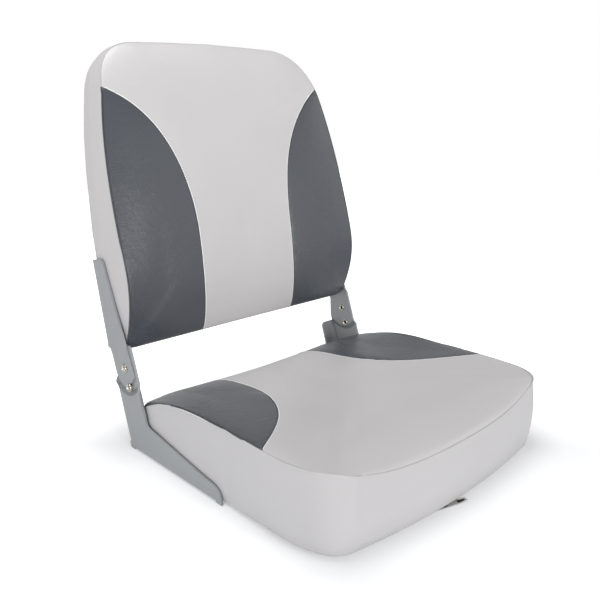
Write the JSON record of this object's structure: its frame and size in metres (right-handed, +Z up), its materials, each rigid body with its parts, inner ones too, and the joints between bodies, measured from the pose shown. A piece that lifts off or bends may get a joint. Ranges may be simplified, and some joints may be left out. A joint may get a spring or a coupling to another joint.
{
  "type": "folding boat seat",
  "caption": "Padded two-tone boat seat whose reclined backrest folds forward on to the seat cushion about a pair of stamped steel side hinges.",
  "frame": {"origin": "centre of the flat mounting pad under the seat pan, level with the undersides of the bracket feet", "axes": "+Z up, -Y the way the sitter faces, +X the sitter's left"},
  "size_m": [0.4346, 0.5288, 0.5409],
  "materials": {
    "light_vinyl": "satin",
    "dark_vinyl": "satin",
    "foam": "matte",
    "moulded_plastic": "matte",
    "panel_plastic": "satin",
    "painted_steel": "satin",
    "plated_steel": "bright",
    "webbing": "matte"
  },
  "bodies": {
    "seat": {"seat_pan": "moulded_plastic", "seat_foam": "foam", "seat_cover_middle": "light_vinyl", "seat_cover_corner_left": "dark_vinyl", "seat_cover_corner_right": "dark_vinyl", "seat_cover_band": "light_vinyl", "lower_bracket_left": "painted_steel", "lower_bracket_right": "painted_steel", "pivot_rivet_left": "plated_steel", "pivot_rivet_right": "plated_steel", "stop_pin_left": "plated_steel", "stop_pin_right": "plated_steel", "bracket_screw_1_left": "plated_steel", "bracket_screw_1_right": "plated_steel", "bracket_screw_2_left": "plated_steel", "bracket_screw_2_right": "plated_steel", "bracket_screw_3_left": "plated_steel", "bracket_screw_3_right": "plated_steel", "threaded_insert_1": "plated_steel", "threaded_insert_2": "plated_steel", "threaded_insert_3": "plated_steel", "threaded_insert_4": "plated_steel", "hold_down_strap": "webbing", "strap_hook": "plated_steel", "strap_rivet": "plated_steel", "strap_washer": "plated_steel", "strap_screw": "plated_steel"},
    "backrest": {"back_board": "moulded_plastic", "back_foam": "foam", "back_cover_middle": "light_vinyl", "back_cover_side_left": "dark_vinyl", "back_cover_side_right": "dark_vinyl", "back_cover_band": "light_vinyl", "back_rear_panel": "panel_plastic", "upper_arm_left": "painted_steel", "upper_arm_right": "painted_steel", "arm_screw_1_left": "plated_steel", "arm_screw_1_right": "plated_steel", "arm_screw_2_left": "plated_steel", "arm_screw_2_right": "plated_steel", "arm_screw_3_left": "plated_steel", "arm_screw_3_right": "plated_steel"}
  },
  "joints": [
    {"name": "backrest_fold", "type": "hinge", "parent": "seat", "child": "backrest", "pos_m": [0, 0.205, 0.115], "axis": [1, 0, 0], "range_deg": [0, 88]}
  ]
}
